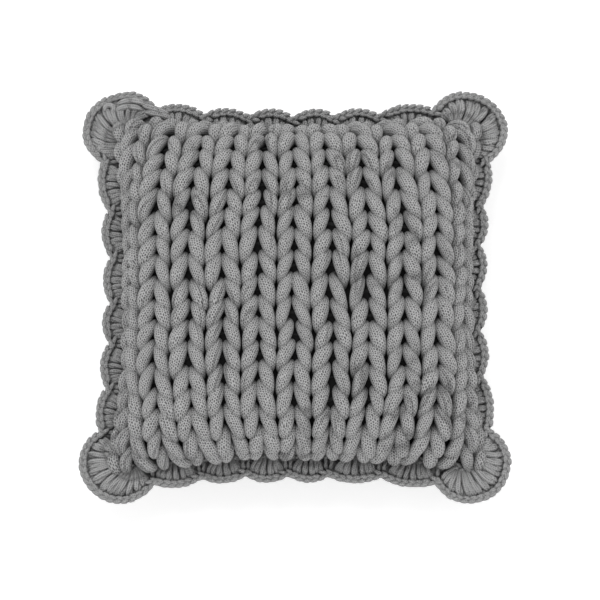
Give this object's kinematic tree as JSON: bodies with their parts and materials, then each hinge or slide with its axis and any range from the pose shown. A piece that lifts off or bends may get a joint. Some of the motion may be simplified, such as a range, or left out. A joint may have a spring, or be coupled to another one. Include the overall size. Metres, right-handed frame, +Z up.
{
  "type": "throw pillow",
  "caption": "Square throw pillow with a chunky stocking-stitch knitted front, a crocheted scallop border, a plain woven back and a zip.",
  "frame": {"origin": "on the ground under the middle of the pillow, which lies on its back with the knitted front up", "axes": "+Z up, out of the knitted front; +Y to the pillow's top edge, the way the knitted columns run; +X to its right edge as seen from the front"},
  "size_m": [0.4554, 0.4514, 0.153],
  "materials": {
    "knit_yarn": "thick tube yarn of fine cotton jersey, mid grey, matt",
    "crochet_yarn": "cotton yarn, mid grey, matt, crocheted",
    "lining_cloth": "plain dark cloth behind the knit",
    "back_cloth": "plain woven cotton, mid grey, matt",
    "insert_ticking": "off-white cotton ticking",
    "polyester_fibre": "white fibre fill",
    "zip_tape": "woven polyester tape, grey",
    "zip_teeth": "moulded plastic, grey",
    "zip_metal": "grey painted zinc"
  },
  "bodies": {
    "pillow": {"back_panel": "back_cloth", "border_base_round": "crochet_yarn", "border_edge_round": "crochet_yarn", "fibre_fill": "polyester_fibre", "front_lining": "lining_cloth", "insert_cover_back": "insert_ticking", "insert_cover_front": "insert_ticking", "knit_front_panel": "knit_yarn", "scallop_bottom_1": "crochet_yarn", "scallop_bottom_2": "crochet_yarn", "scallop_bottom_3": "crochet_yarn", "scallop_bottom_4": "crochet_yarn", "scallop_bottom_5": "crochet_yarn", "scallop_bottom_6": "crochet_yarn", "scallop_bottom_left": "crochet_yarn", "scallop_bottom_right": "crochet_yarn", "scallop_left_1": "crochet_yarn", "scallop_left_2": "crochet_yarn", "scallop_left_3": "crochet_yarn", "scallop_left_4": "crochet_yarn", "scallop_left_5": "crochet_yarn", "scallop_left_6": "crochet_yarn", "scallop_right_1": "crochet_yarn", "scallop_right_2": "crochet_yarn", "scallop_right_3": "crochet_yarn", "scallop_right_4": "crochet_yarn", "scallop_right_5": "crochet_yarn", "scallop_right_6": "crochet_yarn", "scallop_top_1": "crochet_yarn", "scallop_top_2": "crochet_yarn", "scallop_top_3": "crochet_yarn", "scallop_top_4": "crochet_yarn", "scallop_top_5": "crochet_yarn", "scallop_top_6": "crochet_yarn", "scallop_top_left": "crochet_yarn", "scallop_top_right": "crochet_yarn", "zip_bottom_stop": "zip_metal", "zip_tape_lower": "zip_tape", "zip_tape_upper": "zip_tape", "zip_teeth_lower": "zip_teeth", "zip_teeth_upper": "zip_teeth", "zip_top_stop": "zip_metal"},
    "zip_slider": {"zip_slider": "zip_metal"},
    "zip_pull_tab": {"zip_pull_tab": "zip_metal"}
  },
  "joints": [
    {"name": "zip_slide", "type": "slide", "parent": "pillow", "child": "zip_slider", "axis": [-1, 0, 0], "range_m": [0, 0.236]},
    {"name": "pull_tab_turn", "type": "hinge", "parent": "zip_slider", "child": "zip_pull_tab", "pos_m": [0.1186, -0.1785, 0.046], "axis": [0, 0, 1], "range_deg": [0, 180]}
  ]
}
